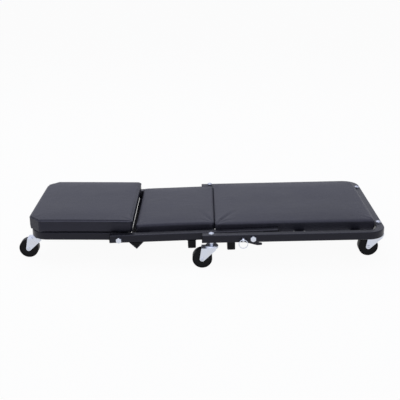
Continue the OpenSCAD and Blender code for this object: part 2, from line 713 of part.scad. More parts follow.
// The ring hangs through the pin's head, with its hinge line half way across the wire's sag
ring_sag = pin_r * pin_r / ring_r / 4;
module pull_ring(side) color(zinc) at_base()
    translate([-pin_reach, side * (base_width / 2 + pin_head_out), ring_sag - ring_r])
        rotate([90, 0, 0]) rotate_extrude() translate([ring_r, 0]) circle(ring_wire_r);
module pull_ring_near() pull_ring(near);
module pull_ring_far() pull_ring(far);

// Casters, with their origin on the floor under the swivel axis
nut_bore_share = 0.7;
module caster_low() translate([0, 0, -tube_half - caster_height]) children();
module caster_stem() {
    stem_top = caster_height + tube_w + cap_nut_h * nut_bore_share;
    translate([0, 0, rivet_low]) cylinder(h = stem_top - rivet_low, r = stem_r);
    translate([0, 0, rivet_low]) cylinder(h = rivet_h, r = rivet_r);
    translate([0, 0, race_top]) cylinder(h = shoulder_h, r = shoulder_r);
}
module cap_nut() translate([0, 0, caster_height + tube_w]) difference() {
    dome_r = hex_r * 1.4;
    intersection() {
        hex(cap_nut_h);
        translate([0, 0, cap_nut_h - dome_r]) sphere(dome_r);
    }
    translate([0, 0, -overrun])
        cylinder(h = cap_nut_h * nut_bore_share + overrun + running_fit, r = stem_r + running_fit);
}
module caster_race() {
    lip = race_t * 0.9;
    lip_low = crown_top + 2 * running_fit;
    rotate_extrude() polygon([
        [stem_r + running_fit, race_low], [race_r - lip, race_low],
        [race_r - lip, lip_low], [race_r, lip_low],
        [race_r, race_top - race_t], [race_r - race_t, race_top], [stem_r + running_fit, race_top]
    ]);
    for (i = [0 : ball_count - 1]) rotate([0, 0, 360 * i / ball_count])
        translate([race_r - lip - 1.5 * ball_r - running_fit, 0, crown_top + running_fit + ball_r])
            sphere(ball_r, $fn = 24);
}

// The fork's crown is a plate with a round front, and each leg tapers down to the axle
leg_back = 1.5;
knee = [caster_trail / 12, wheel_r * 1.62];
module caster_fork() color(zinc) difference() {
    axle_at = [-caster_trail, wheel_r];
    back = [-caster_trail - leg_back, crown_top];
    front_x = sqrt(pow(race_r, 2) - pow(fork_half + fork_t, 2));
    union() {
        translate([0, 0, crown_low]) cylinder(h = fork_t, r = race_r - loose_fit);
        translate([back.x, -fork_half - fork_t, crown_low]) cube([-back.x, 2 * (fork_half + fork_t), fork_t]);
        for (s = [near, far]) upright(s * (fork_half + fork_t / 2), fork_t) {
            polygon([
                back, touch(axle_at, fork_tip_r, back, 1), axle_at, touch(axle_at, fork_tip_r, knee, -1),
                knee, [front_x, crown_low - 1.5 * fork_t], [front_x, crown_top]
            ]);
            translate(axle_at) circle(fork_tip_r);
        }
    }
    translate([0, 0, crown_low - overrun]) cylinder(h = fork_t + 2 * overrun, r = stem_r + running_fit);
    bore_y(-caster_trail, wheel_r, axle_r + running_fit, -2 * fork_inside, 2 * fork_inside);
}

module caster_axle() color(zinc) translate([-caster_trail, 0, wheel_r]) {
    out = fork_half + fork_t;
    for (s = [near, far]) on_side(s, 0) difference() {
        union() {
            cylinder(h = out, r = axle_r);
            translate([0, 0, out]) cylinder(h = axle_head_t, r1 = axle_head_r, r2 = axle_r);
        }
        translate([0, 0, out]) cylinder(h = axle_head_t + overrun, r = axle_r / 2);
    }
}

module caster_wheel() color(wheel_black) translate([-caster_trail, 0, wheel_r]) rotate([90, 0, 0]) {
    tread_r = 3;
    tread_depth = wheel_r / 3;
    web_w = wheel_w * 0.7;
    bore = axle_r + running_fit;
    rotate_extrude($fn = 64) {
        translate([bore, -hub_w / 2]) square([hub_r - bore, hub_w]);
        translate([bore, -web_w / 2]) square([wheel_r - tread_r - bore, web_w]);
        translate([wheel_r - tread_depth, -wheel_w / 2]) square([tread_depth - tread_r, wheel_w]);
        translate([wheel_r - tread_r, tread_r - wheel_w / 2]) square([tread_r, wheel_w - 2 * tread_r]);
        for (s = [-1, 1]) translate([wheel_r - tread_r, s * (wheel_w / 2 - tread_r)]) circle(tread_r);
    }
}

module at_base_stems() at_base() {
    arm_stems() caster_low() children();
    end_stems() caster_low() children();
}
module base_caster_stems() color(zinc) at_base_stems() caster_stem();
module base_caster_nuts() color(zinc) at_base_stems() cap_nut();
module base_caster_races() color(zinc) at_base_stems() caster_race();
module seat_caster_stems() color(zinc) at_seat() seat_stems() caster_low() caster_stem();
module seat_caster_nuts() color(zinc) at_seat() seat_stems() caster_low() cap_nut();
module seat_caster_races() color(zinc) at_seat() seat_stems() caster_low() caster_race();

// One caster at its place, near or far
module end_caster(side) at_base()
    translate([end_stem_reach, side * end_stem_y, 0]) caster_low() children();
module arm_caster(side) at_base()
    translate([-arm_stem_reach, side * arm_y, 0]) caster_low() children();
module seat_caster(side) at_seat()
    translate([-seat_stem_reach, side * seat_stem_y, 0]) caster_low() children();

base_frame();
base_cross_tube();
base_end_plugs();
base_straps();
base_pad_brackets();
base_pad_board();
base_pad_cushion();
base_pad_screws();
arm_strap_screws();
base_caster_stems();
base_caster_nuts();
base_caster_races();
pivot_bolts();
pivot_nuts();
pin_springs();
middle_rail_near();
middle_rail_far();
middle_cross_tube();
stop_bar();
middle_end_plugs();
middle_straps();
lock_plates();
middle_pad_board();
middle_pad_cushion();
middle_pad_screws();
hinge_bolts();
hinge_nuts();
hinge_spacers();
seat_frame();
seat_end_plugs();
seat_straps();
seat_pad_board();
seat_pad_cushion();
seat_pad_screws();
seat_caster_stems();
seat_caster_nuts();
seat_caster_races();
pull_pin_near();
pull_pin_far();
pull_ring_near();
pull_ring_far();
end_caster(near) caster_fork();  // end_fork_near
end_caster(near) caster_axle();  // end_axle_near
end_caster(near) caster_wheel();  // end_wheel_near
end_caster(far) caster_fork();  // end_fork_far
end_caster(far) caster_axle();  // end_axle_far
end_caster(far) caster_wheel();  // end_wheel_far
arm_caster(near) caster_fork();  // arm_fork_near
arm_caster(near) caster_axle();  // arm_axle_near
arm_caster(near) caster_wheel();  // arm_wheel_near
arm_caster(far) caster_fork();  // arm_fork_far
arm_caster(far) caster_axle();  // arm_axle_far
arm_caster(far) caster_wheel();  // arm_wheel_far
seat_caster(near) caster_fork();  // seat_fork_near
seat_caster(near) caster_axle();  // seat_axle_near
seat_caster(near) caster_wheel();  // seat_wheel_near
seat_caster(far) caster_fork();  // seat_fork_far
seat_caster(far) caster_axle();  // seat_axle_far
seat_caster(far) caster_wheel();  // seat_wheel_far
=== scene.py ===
"""Finishes, cushions, trim, studio and camera for a folding creeper seat."""
import json
import math

import bmesh
import bpy
from bpy.props import FloatProperty, FloatVectorProperty, PointerProperty
from mathutils import Matrix, Quaternion, Vector, noise
from mathutils.bvhtree import BVHTree

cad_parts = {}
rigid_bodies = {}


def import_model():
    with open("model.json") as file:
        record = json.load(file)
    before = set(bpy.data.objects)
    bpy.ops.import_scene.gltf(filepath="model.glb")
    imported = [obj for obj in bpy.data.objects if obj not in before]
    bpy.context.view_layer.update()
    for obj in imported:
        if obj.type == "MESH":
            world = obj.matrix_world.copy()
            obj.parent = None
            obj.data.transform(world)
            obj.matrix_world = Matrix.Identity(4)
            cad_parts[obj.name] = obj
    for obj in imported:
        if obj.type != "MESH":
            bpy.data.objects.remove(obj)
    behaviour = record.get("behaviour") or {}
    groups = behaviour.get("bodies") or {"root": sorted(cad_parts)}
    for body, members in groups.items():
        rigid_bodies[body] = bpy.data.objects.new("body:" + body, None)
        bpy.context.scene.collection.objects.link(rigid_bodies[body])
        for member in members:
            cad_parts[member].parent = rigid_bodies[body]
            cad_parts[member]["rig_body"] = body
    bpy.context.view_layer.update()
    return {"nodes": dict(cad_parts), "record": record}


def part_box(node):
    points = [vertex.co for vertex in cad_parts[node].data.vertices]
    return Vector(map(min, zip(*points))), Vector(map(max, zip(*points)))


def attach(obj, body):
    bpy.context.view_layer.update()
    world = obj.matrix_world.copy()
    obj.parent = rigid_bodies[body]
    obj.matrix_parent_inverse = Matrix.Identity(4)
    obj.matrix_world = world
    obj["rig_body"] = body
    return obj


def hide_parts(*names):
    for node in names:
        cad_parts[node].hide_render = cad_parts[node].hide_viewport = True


bl_info = {
    "name": "Folding Creeper Seat",
    "version": (1, 0, 0),
    "blender": (4, 5, 0),
    "location": "View3D > Sidebar > Creeper",
    "description": "Dresses the frame of a folding creeper seat with cushions, trim and finishes",
    "category": "Add Mesh",
}

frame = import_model()
nodes = frame["nodes"]
MM = 0.001
# The near side and the far side, along Y
SIDES = (-1, 1)
# How squarely a face must look along an axis to count as facing that way
FACING = 0.9
# The board under each section's cushion
SECTIONS = {"base": "base_pad_board", "middle": "middle_pad_board", "seat": "seat_pad_board"}
# What each cushion rests on
CARRIERS = {
    "base": ("base_straps", "base_pad_brackets"),
    "middle": ("middle_straps",),
    "seat": ("seat_straps", "seat_frame"),
}
# Heights of the cushions' sides, without their crowns
EDGE_HEIGHTS = {"base": 28.5 * MM, "middle": 26.5 * MM, "seat": 35.5 * MM}
# How far each cushion's two ends bow out, or in where negative: the left end, then the right end
BOWS = {
    "base": (1.7 * MM, 1.2 * MM),
    "middle": (-2.0 * MM, 1.7 * MM),
    "seat": (-1.5 * MM, -2.0 * MM),
}
# Folds that run in from the corners: the corner's sides, angle from the length, length and depth in mm
FOLDS = {
    "base": ((-1, -1, 58, 104, 2.9), (-1, -1, 30, 60, 1.9), (-1, -1, 80, 62, 1.2), (-1, 1, 48, 48, 0.9),
             (1, -1, 47, 52, 1.0), (1, 1, 44, 40, 0.7)),
    "middle": ((1, -1, 68, 92, 2.6), (1, -1, 36, 48, 1.5), (-1, -1, 45, 44, 1.2), (1, 1, 52, 46, 0.9),
               (-1, 1, 45, 36, 0.7)),
    "seat": ((-1, -1, 45, 60, 0.9), (1, -1, 42, 44, 1.2), (-1, 1, 45, 42, 0.6), (1, 1, 45, 36, 0.5)),
}
# Where a fold starts, how far it bends and wanders, its width there and how it widens
FOLD_START, FOLD_BEND, FOLD_WANDER, FOLD_WIDTH, FOLD_SPREAD = 2 * MM, 5 * MM, 1.2 * MM, 2.6 * MM, 0.055
# The gathers beside a corner: depth, where they are deepest, how far they reach, and their turn per mm
GATHER_DEPTH, GATHER_AT, GATHER_REACH, GATHER_WAVE = 0.9 * MM, 6 * MM, 9 * MM, 1.15
# How far the sides draw in towards their top and lower edges
EDGE_DRAW = 0.5 * MM
# How far the remeshing wears the blocks' edges, and how near the outline the points of a side lie
WORN, ON_SIDE = 3.2 * MM, 1.2 * MM
# How far in from the outline the bows and gathers reach in full, and at all
BOW_FULL, BOW_END = 2 * MM, 45 * MM
# How much smaller than its cushion a block starts, all round
BLOCK_INSET = 2.5 * MM
# Frames over which the foam swells, how firmly the top edge is held, and how much of the swelling is kept
SWELL_FRAMES, EDGE_HOLD, SWELL_KEPT = 20, 0.75, 0.2
# Loops cut around the seat cushion for its seam, in mm above the seam, and the band of faces they cut
SEAM_STEPS = (-4.2, -3.4, -2.7, -2.1, -1.6, -1.1, -0.6, -0.1, 0.4, 0.9, 1.4, 2.0)
SEAM_BAND = 9 * MM
# The seam's crease and bead: height above it, width, and depth or rise in mm; then the heights they span
CREASE, BEAD, SEAM_REACH = (0.9, 0.6, 1.3), (-1.6, 1.5, 2.0), (-5.5, 3.0)
# The turned-in cover: the height of its points and of the flat ones among them, its thickness where it is
# pressed, how far around what carries it that is, and how far up its open middle goes
HEM_POINTS, HEM_FLAT, HEM_PRESSED, HEM_CLEAR, HEM_OPEN = 1.5 * MM, 0.4 * MM, 0.1 * MM, 3 * MM, 2.5 * MM
# A wheel's side: how far in and out its rim, hub and bore step, and the rounding of its edges
RIM_STEP, HUB_STEP, BORE_STEP = (0.4 * MM, -1.0 * MM), (0.6 * MM, 1.4 * MM), (0.3 * MM, -0.8 * MM)
WHEEL_EDGE = 0.9 * MM
# Widths of the square tube and of a bracket
TUBE, BRACKET = 20 * MM, 40 * MM
# How far from a part's end the weld beads stop, and where those under the rails start
WELD_END, RAIL_WELD = 2 * MM, 19 * MM
# A staple: its crown's width and height and the rounding of its edges, and its legs' width and height
STAPLE_WIDE, STAPLE_HIGH, STAPLE_EDGE = 1.2 * MM, 0.6 * MM, 0.2 * MM
LEG_WIDE, LEG_HIGH = 0.8 * MM, 2.2 * MM
# How far below the board a staple's crown lies, and how far it keeps from what carries the board
STAPLE_DROP, STAPLE_CLEAR = 0.9 * MM, 8 * MM
# How far the weld's ripples and the staples are turned out of line, in radians
RIPPLE_TURN, STAPLE_TURN = 0.12, 0.06
# Tint of the sheen on vinyl and powder coat
COOL_SHEEN = (0.82, 0.82, 1.0, 1.0)
WHITE = (1.0, 1.0, 1.0, 1.0)
# Width of the camera's sensor in mm
SENSOR = 36.0
# The soft boxes: place, what they look at, and size
OVERHEAD = (-0.3, 0.5, 2.2), (0, 0, 0), 2.6
FILL = (0.4, -3.2, 1.9), (0, 0, 0.1), 2.4
# How much of the floor's look is plain white; the rest takes the object's shadow
FLOOR_WHITE = 0.95


class CushionSettings(bpy.types.PropertyGroup):
    """Sizes of the three cushions."""

    grid: FloatProperty(
        name="Grid", description="Mesh size of the cover while it swells",
        default=5 * MM, unit="LENGTH")
    pressure: FloatProperty(
        name="Pressure", description="How hard the foam presses on the cover", default=4.0)
    swell: FloatProperty(
        name="Swell", description="Furthest that the foam may push out", default=8 * MM, unit="LENGTH")
    slack: FloatProperty(
        name="Slack", description="Share by which the cover is larger than the foam", default=0.006)
    corner: FloatProperty(
        name="Corner", description="Rounding of the upright corners", default=4.5 * MM, unit="LENGTH")
    cut: FloatProperty(
        name="Cut", description="Size of the seat's cut corners", default=32 * MM, unit="LENGTH")
    draw_in: FloatProperty(
        name="Draw in", description="How far the sides are drawn in between corners",
        default=1.2 * MM, unit="LENGTH")
    soft_edge: FloatProperty(
        name="Soft edge", description="Rounding of a top edge with no seam",
        default=5 * MM, unit="LENGTH")
    sewn_edge: FloatProperty(
        name="Sewn edge", description="Rounding of a top edge above a seam",
        default=2.5 * MM, unit="LENGTH")
    low_edge: FloatProperty(
        name="Low edge", description="Rounding of the lower edges", default=1.2 * MM, unit="LENGTH")
    seam_drop: FloatProperty(
        name="Seam drop", description="Top edge down to the seam around the side",
        default=4 * MM, unit="LENGTH")
    hem: FloatProperty(
        name="Hem", description="Width of the cover turned in under the board",
        default=22 * MM, unit="LENGTH")
    cover_t: FloatProperty(
        name="Cover", description="Thickness of the turned-in cover", default=0.8 * MM, unit="LENGTH")


class FinishSettings(bpy.types.PropertyGroup):
    """Colours of the finishes."""

    vinyl: FloatVectorProperty(
        name="Vinyl", description="Colour of the cushion covers",
        default=(0.0115, 0.0115, 0.0165), size=3, subtype="COLOR")
    paint: FloatVectorProperty(
        name="Paint", description="Colour of the powder coat",
        default=(0.0110, 0.0110, 0.0145), size=3, subtype="COLOR")
    plate: FloatVectorProperty(
        name="Plate", description="Colour of the zinc plate",
        default=(0.62, 0.665, 0.765), size=3, subtype="COLOR")
    plastic: FloatVectorProperty(
        name="Plastic", description="Colour of the wheels and plugs",
        default=(0.0055, 0.0055, 0.0065), size=3, subtype="COLOR")
    board: FloatVectorProperty(
        name="Board", description="Colour of the pressed boards",
        default=(0.30, 0.19, 0.10), size=3, subtype="COLOR")


class TrimSettings(bpy.types.PropertyGroup):
    """Sizes of the wheels' sides, the welds and the staples."""

    weld: FloatProperty(
        name="Weld", description="Width of a weld bead", default=3.4 * MM, unit="LENGTH")
    ripple: FloatProperty(
        name="Ripple", description="Distance between a weld's ripples", default=1.4 * MM, unit="LENGTH")
    shoulder: FloatProperty(
        name="Shoulder", description="Width of a wheel's rim", default=3.6 * MM, unit="LENGTH")
    web: FloatProperty(
        name="Web", description="Width of a wheel's dished web", default=10.5 * MM, unit="LENGTH")
    boss: FloatProperty(
        name="Boss", description="Width of the flat of a wheel's hub", default=2.6 * MM, unit="LENGTH")
    crown: FloatProperty(name="Crown", description="Length of a staple", default=10 * MM, unit="LENGTH")
    pitch: FloatProperty(
        name="Pitch", description="Distance between staples", default=28 * MM, unit="LENGTH")
    inset: FloatProperty(
        name="Inset", description="Edge of a cushion to its staples", default=12 * MM, unit="LENGTH")


class StageSettings(bpy.types.PropertyGroup):
    """Camera, lamps and floor."""

    lens: FloatProperty(name="Lens", description="Focal length in mm", default=66.17)
    eye: FloatVectorProperty(
        name="Eye", description="Place of the camera", size=3, unit="LENGTH",
        default=(0.0206, -1.8897, 0.7917))
    pitch: FloatProperty(
        name="Pitch", description="How far the camera looks down", subtype="ANGLE",
        default=math.radians(19.881))
    yaw: FloatProperty(
        name="Yaw", description="How far the camera is turned to its left", subtype="ANGLE",
        default=math.radians(0.563))
    roll: FloatProperty(
        name="Roll", description="How far the camera leans to its left", subtype="ANGLE",
        default=math.radians(-1.435))
    world: FloatProperty(
        name="World", description="Brightness of the light from all round", default=0.35)
    cool: FloatVectorProperty(
        name="Cool", description="Colour of the studio's light", size=3, subtype="COLOR",
        default=(0.87, 0.89, 1.0))
    overhead: FloatProperty(
        name="Overhead", description="Power of the soft box overhead", default=31.5, unit="POWER")
    fill: FloatProperty(
        name="Fill", description="Power of the soft box behind the camera", default=5.5, unit="POWER")
    floor: FloatProperty(
        name="Floor", description="Length of the floor's sides", default=40.0, unit="LENGTH")


class Tie:
    """A socket's value, so that sums written on it add Math nodes."""

    def __init__(self, recipe, socket):
        self.recipe = recipe
        self.socket = socket

    def math(self, operation, *others):
        """A Math node on this value and the others."""
        values = dict(enumerate((self, *others)))
        return self.recipe.node("ShaderNodeMath", {"operation": operation}, values)

    def __add__(self, other):
        return self.math("ADD", other)

    __radd__ = __add__

    def __sub__(self, other):
        return self.math("SUBTRACT", other)

    def __rsub__(self, other):
        return self.math("MULTIPLY_ADD", -1.0, other)

    def __mul__(self, other):
        return self.math("MULTIPLY", other)

    def __pow__(self, other):
        return self.math("POWER", other)

    def __abs__(self):
        return self.math("ABSOLUTE")

    def clamp(self):
        """The value kept between 0 and 1."""
        return self.math("MAXIMUM", 0.0).math("MINIMUM", 1.0)


class Recipe:
    """A node tree and short ways to add to it."""

    def __init__(self, tree):
        self.tree = tree

    def feed(self, node, values):
        """Links or sets a node's sockets, by name or number."""
        for key, value in values.items():
            if isinstance(value, Tie):
                self.tree.links.new(value.socket, node.inputs[key])
            else:
                node.inputs[key].default_value = value

    def node(self, kind, settings, values, output=0):
        """Adds a node: its settings first, then its sockets."""
        node = self.tree.nodes.new(kind)
        for key, value in settings.items():
            if key == "stops":
                for stop, (place, colour) in zip(node.color_ramp.elements, value):
                    stop.position = place
                    stop.color = (*colour, 1.0)
            else:
                setattr(node, key, value)
        self.feed(node, values)
        return Tie(self, node.outputs[output])

    def place(self, stretch=(1.0, 1.0, 1.0), shift=(0.0, 0.0, 0.0)):
        """Where a point lies on the object, in metres, stretched per axis."""
        where = self.node("ShaderNodeTexCoord", {}, {}, "Object")
        return self.node("ShaderNodeMapping", {}, {"Vector": where, "Scale": stretch, "Location": shift})

    def noise(self, place, scale, detail=2.0, roughness=0.5):
        """Smooth noise; scale is in waves per metre."""
        return self.node("ShaderNodeTexNoise", {}, {"Vector": place, "Scale": scale, "Detail": detail,
                                                    "Roughness": roughness})

    def cells(self, place, scale, feature="SMOOTH_F1"):
        """Distance to the nearest of many scattered points; scale is in points per metre."""
        return self.node("ShaderNodeTexVoronoi", {"feature": feature}, {"Vector": place, "Scale": scale},
                         "Distance")

    def mix(self, mask, first, second):
        """first where mask is 0 and second where it is 1, as colours."""
        return self.node("ShaderNodeMix", {"data_type": "RGBA"}, {0: mask, 6: first, 7: second}, 2)

    def bump(self, height, depth, normal=None):
        """A surface with this relief, depth metres deep, on top of another relief if one is given."""
        values = {"Height": height, "Distance": depth, "Strength": 1.0}
        if normal is not None:
            values["Normal"] = normal
        return self.node("ShaderNodeBump", {}, values, "Normal")

    def rays(self):
        """Two masks: the camera's own rays, and these with glossy and transmission rays."""
        path = self.tree.nodes.new("ShaderNodeLightPath")
        straight, glossy, through = (Tie(self, path.outputs[f"Is {kind} Ray"])
                                     for kind in ("Camera", "Glossy", "Transmission"))
        return straight, (straight + glossy + through).clamp()


class Finish(Recipe):
    """A material and its recipe."""

    def __init__(self, name):
        self.material = bpy.data.materials.new(name)
        self.material.use_nodes = True
        super().__init__(self.material.node_tree)
        self.shader = self.tree.nodes["Principled BSDF"]

    def finish(self, **values):
        """Sets the shader's sockets; an underscore in a name stands for a space."""
        self.feed(self.shader, {key.replace("_", " "): value for key, value in values.items()})
        return self.material


def rgba(colour, gain=1.0):
    """A colour for a socket, made brighter or darker by gain."""
    return (*(min(1.0, part * gain) for part in colour), 1.0)


def vinyl_finish(name, colour):
    """Black vinyl: a pebbled grain, faint creases and a soft uneven sheen."""
    recipe = Finish(name)
    place = recipe.place()
    pebbles = recipe.cells(place, 900)
    pores = recipe.noise(place, 2400, 2)
    clouds = recipe.noise(place, 11, 4, 0.6)
    creases = (1 - abs(recipe.noise(recipe.place((1, 1.4, 1)), 38, 5, 0.6) * 2 - 1)) ** 9
    colour_tie = recipe.mix((clouds * 1.6 - 0.4).clamp(), rgba(colour), rgba(colour, 1.9))
    rough = 0.37 + clouds * 0.13 + pebbles * 0.10
    grain = recipe.bump(pebbles * 0.8 + pores * 0.35, 0.16 * MM)
    skin = recipe.bump(creases * -1.0 + recipe.noise(place, 120, 3), 0.11 * MM, grain)
    return recipe.finish(Base_Color=colour_tie, Roughness=rough, Normal=skin, Specular_IOR_Level=0.35,
                         Specular_Tint=COOL_SHEEN)


def paint_finish(name, colour):
    """Black powder coat: fine orange peel, with dull and rubbed places."""
    recipe = Finish(name)
    place = recipe.place()
    peel = recipe.noise(place, 1300, 2, 0.6)
    waves = recipe.noise(place, 60, 3)
    rubbed = (recipe.noise(recipe.place((0.35, 1, 1)), 90, 6, 0.7) * 5.0 - 3.2).clamp()
    colour_tie = recipe.mix(rubbed * 0.5, rgba(colour), rgba(colour, 3.2))
    rough = 0.26 + waves * 0.12 + rubbed * 0.10
    normal = recipe.bump(waves, 0.35 * MM, recipe.bump(peel, 0.06 * MM))
    return recipe.finish(Base_Color=colour_tie, Roughness=rough, Normal=normal, Specular_IOR_Level=0.27,
                         Specular_Tint=COOL_SHEEN)


def plate_finish(name, colour, rough_from=0.24):
    """Bright zinc plate: a cool and a warm tint in patches, and drawn scratches."""
    recipe = Finish(name)
    place = recipe.place()
    patches = recipe.noise(place, 75, 4, 0.6)
    scratches = recipe.noise(recipe.place((1, 1, 7)), 420, 4, 0.7)
    spangle = recipe.cells(place, 420, "F1")
    warm = (colour[0] * 1.03, colour[1] * 0.99, colour[2] * 0.93)
    colour_tie = recipe.mix((patches * 2.2 - 0.6).clamp(), rgba(colour), rgba(warm))
    rough = rough_from + patches * 0.14 + scratches * 0.08
    normal = recipe.bump(scratches + spangle * 0.5, 0.05 * MM)
    return recipe.finish(Base_Color=colour_tie, Roughness=rough, Normal=normal, Metallic=1.0)


def plastic_finish(name, colour, rough_from=0.38):
    """Moulded black plastic: a fine matt grain with scuffs."""
    recipe = Finish(name)
    place = recipe.place()
    grain = recipe.noise(place, 2200, 2)
    flow = recipe.noise(place, 45, 3)
    scuffs = (recipe.noise(recipe.place((1, 1, 3)), 230, 6, 0.75) * 6.0 - 3.9).clamp()
    colour_tie = recipe.mix(scuffs * 0.6, rgba(colour), rgba(colour, 3.5))
    rough = rough_from + flow * 0.12 + scuffs * 0.18
    normal = recipe.bump(grain + scuffs * -0.6, 0.05 * MM)
    return recipe.finish(Base_Color=colour_tie, Roughness=rough, Normal=normal, Specular_IOR_Level=0.12)


def board_finish(name, colour):
    """Pressed board: mixed fibres and darker flecks."""
    recipe = Finish(name)
    fibres = recipe.noise(recipe.place((1, 3, 3)), 260, 6, 0.7)
    flecks = (recipe.cells(recipe.place((1, 2, 2)), 170, "F1") * 1.5).clamp()
    dark = rgba(colour, 0.45)
    colour_tie = recipe.mix((fibres * 0.8 + flecks * 0.4).clamp(), dark, rgba(colour, 1.25))
    normal = recipe.bump(fibres, 0.3 * MM)
    return recipe.finish(Base_Color=colour_tie, Roughness=0.68 + fibres * 0.2, Normal=normal)


def coat(thing, material):
    """Gives an object one material."""
    thing.data.materials.clear()
    thing.data.materials.append(material)


def coat_slots(materials):
    """Gives the frame's nodes the materials of their slots, where these are named."""
    for part in frame["record"]["subparts"]:
        material = materials.get(part["material_slot"])
        if material:
            coat(nodes[part["node"]], material)


# Materials that several operators use, by the setting that holds their colour
SHARED = {
    "vinyl": ("black vinyl", vinyl_finish),
    "paint": ("black powder coat", paint_finish),
    "plate": ("zinc plate", plate_finish),
}


def shared(colour):
    """One of the shared materials, made when it is first asked for."""
    name, make = SHARED[colour]
    return bpy.data.materials.get(name) or make(name, getattr(bpy.context.scene.creeper_finish, colour))


def only(thing):
    """Selects one object and nothing else."""
    for other in bpy.context.selected_objects:
        other.select_set(False)
    bpy.context.view_layer.objects.active = thing
    thing.select_set(True)


def pick(thing, kind, test):
    """Selects the faces, edges or verts of a mesh in edit mode that pass the test."""
    bpy.ops.mesh.select_mode(type={"faces": "FACE", "edges": "EDGE", "verts": "VERT"}[kind])
    bpy.ops.mesh.select_all(action="DESELECT")
    shape = bmesh.from_edit_mesh(thing.data)
    for item in getattr(shape, kind):
        item.select_set(test(item))
    bmesh.update_edit_mesh(thing.data)


def apply_modifier(thing, kind, **values):
    """Adds a modifier, sets it and applies it."""
    only(thing)
    modifier = thing.modifiers.new(kind.title(), kind)
    for key, value in values.items():
        setattr(modifier, key, value)
    bpy.ops.object.modifier_apply(modifier=modifier.name)


def level_of(node):
    """The turn of a section that lies at a slope, read from the underside of its board."""
    faces = [face for face in nodes[node].data.polygons if face.normal.z < -FACING]
    down = max(faces, key=lambda face: face.area).normal
    return Matrix.Rotation(math.atan2(-down.x, -down.z), 4, "Y")


def level_box(node, turn):
    """A node's lowest and highest corner in its section's own level axes."""
    back = turn.inverted()
    points = [back @ vertex.co for vertex in nodes[node].data.vertices]
    low = Vector(min(point[axis] for point in points) for axis in range(3))
    high = Vector(max(point[axis] for point in points) for axis in range(3))
    return low, high


def upright_edge(edge):
    """True for an edge that stands upright."""
    first, second = (vert.co for vert in edge.verts)
    return abs(first.z - second.z) > FACING * (first - second).length


def pad_block(name, low, high, corner, cut=0.0):
    """A block with its upright edges rounded or cut, ready to swell."""
    bpy.ops.mesh.primitive_cube_add(size=1, location=(low + high) / 2, scale=high - low)
    block = bpy.context.active_object
    block.name = block.data.name = name
    bpy.ops.object.transform_apply(location=True, rotation=True, scale=True)
    bpy.ops.object.mode_set(mode="EDIT")
    middle = (low.x + high.x) / 2
    if cut:
        pick(block, "edges", lambda edge: upright_edge(edge) and edge.verts[0].co.x < middle)
        bpy.ops.mesh.bevel(offset=cut, segments=1, affect="EDGES")
        pick(block, "edges", lambda edge: upright_edge(edge) and edge.verts[0].co.x > middle)
    else:
        pick(block, "edges", upright_edge)
    bpy.ops.mesh.bevel(offset=corner, segments=5, affect="EDGES")
    bpy.ops.object.mode_set(mode="OBJECT")
    return block


def swell(pads, blocks, sizes):
    """Lets the foam press each cover outwards, and limits how far it goes."""
    for pad, block in zip(pads, blocks):
        apply_modifier(block, "REMESH", mode="VOXEL", voxel_size=sizes.grid)
        floor = min(vertex.co.z for vertex in block.data.vertices)
        top = max(vertex.co.z for vertex in block.data.vertices)
        held = block.vertex_groups.new(name="held")
        for vertex in block.data.vertices:
            low_down = 1.0 if vertex.co.z < floor + sizes.grid / 2 else 0.0
            at_edge = EDGE_HOLD if on_top_edge(vertex, top, sizes) else 0.0
            held.add([vertex.index], max(low_down, at_edge), "REPLACE")
        pad.starts = [vertex.co.copy() for vertex in block.data.vertices]
        cloth = block.modifiers.new("Cloth", "CLOTH")
        cloth.settings.use_pressure = True
        cloth.settings.uniform_pressure_force = sizes.pressure
        cloth.settings.effector_weights.gravity = 0
        cloth.settings.vertex_group_mass = "held"
        cloth.settings.shrink_min = -sizes.slack
        cloth.point_cache.frame_end = SWELL_FRAMES
    scene = bpy.context.scene
    for step in range(1, SWELL_FRAMES + 1):
        scene.frame_set(step)
    for pad, block in zip(pads, blocks):
        only(block)
        bpy.ops.object.modifier_apply(modifier="Cloth")
        for vertex, start in zip(block.data.vertices, pad.starts):
            push = vertex.co - start
            if push.length > sizes.swell:
                vertex.co = start + push.normalized() * sizes.swell
    scene.frame_set(1)


def on_top_edge(vertex, top, sizes):
    """True on the ring where the top panel meets the side panel."""
    return vertex.co.z > top - sizes.grid and vertex.normal.z < FACING


def smoothstep(low, high, value):
    """0 up to low, 1 from high on, and a smooth rise in between."""
    share = max(0.0, min(1.0, (value - low) / (high - low)))
    return share * share * (3 - 2 * share)


def round_over(inward, depth, radius):
    """Moves a point near a square edge onto the same edge rounded: its ways in and down from the edge."""
    if inward >= radius or depth >= radius:
        return inward, depth
    across, up = radius - inward, radius - depth
    share = max(across, up) / math.hypot(across, up)
    return radius - across * share, radius - up * share


def square_up(inward, depth, radius):
    """The other way about: brings the points of a worn edge out to the square one."""
    if inward >= radius or depth >= radius:
        return inward, depth
    across, up = radius - inward, radius - depth
    share = math.hypot(across, up) / max(across, up)
    return max(0.0, radius - across * share), max(0.0, radius - up * share)


